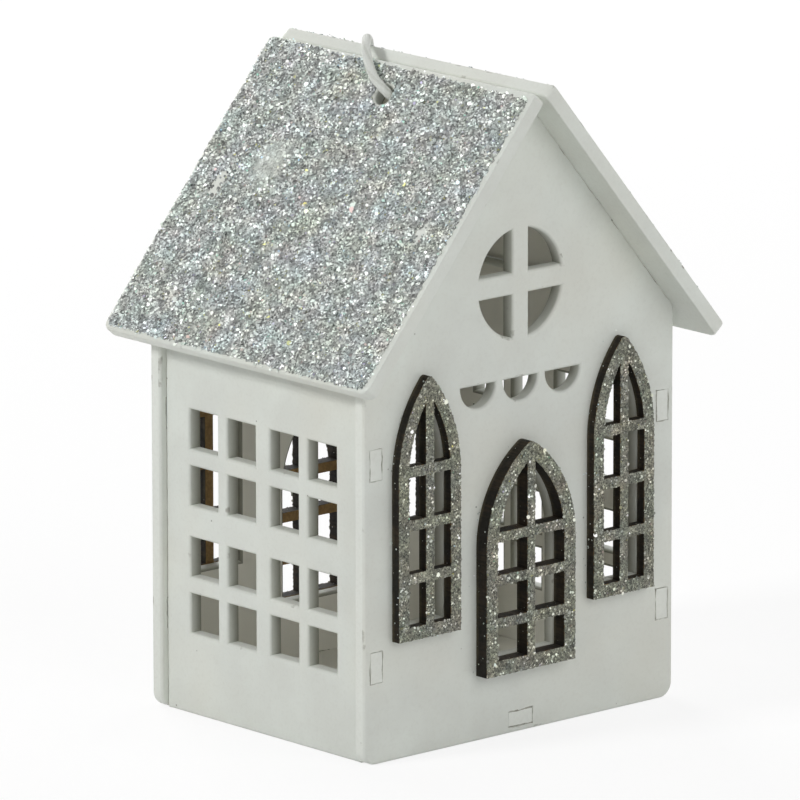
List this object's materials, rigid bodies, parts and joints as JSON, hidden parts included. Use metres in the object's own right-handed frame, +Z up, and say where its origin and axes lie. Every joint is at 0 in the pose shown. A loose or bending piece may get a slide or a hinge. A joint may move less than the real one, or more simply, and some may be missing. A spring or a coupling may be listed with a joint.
{
  "type": "house ornament",
  "caption": "House-shaped hanging ornament of slotted painted boards with a pitched glitter roof, arched glitter door and window frames and a cord loop.",
  "frame": {"origin": "on the surface the house stands on, under the middle of its gables and walls", "axes": "+Z up, +Y from the front gable to the back gable, +X to the right as seen from the front"},
  "size_m": [0.0932, 0.0766, 0.1296],
  "materials": {
    "painted_board": "matt off-white paint on fibreboard",
    "charred_board": "bare fibreboard charred dark by the laser along its cut edges",
    "silver_glitter": "silver glitter flakes in clear glue",
    "cotton_cord": "smooth off-white round cord"
  },
  "bodies": {
    "root": {"front_gable": "painted_board", "back_gable": "painted_board", "left_wall": "painted_board", "right_wall": "painted_board", "floor_panel": "painted_board", "left_roof_panel": "painted_board", "right_roof_panel": "painted_board", "front_door_frame": "charred_board", "front_left_window_frame": "charred_board", "front_right_window_frame": "charred_board", "back_door_frame": "charred_board", "back_left_window_frame": "charred_board", "back_right_window_frame": "charred_board", "left_roof_glitter": "silver_glitter", "right_roof_glitter": "silver_glitter", "front_door_glitter": "silver_glitter", "front_left_window_glitter": "silver_glitter", "front_right_window_glitter": "silver_glitter", "back_door_glitter": "silver_glitter", "back_left_window_glitter": "silver_glitter", "back_right_window_glitter": "silver_glitter", "hanging_cord": "cotton_cord", "cord_knot": "cotton_cord"}
  },
  "joints": []
}
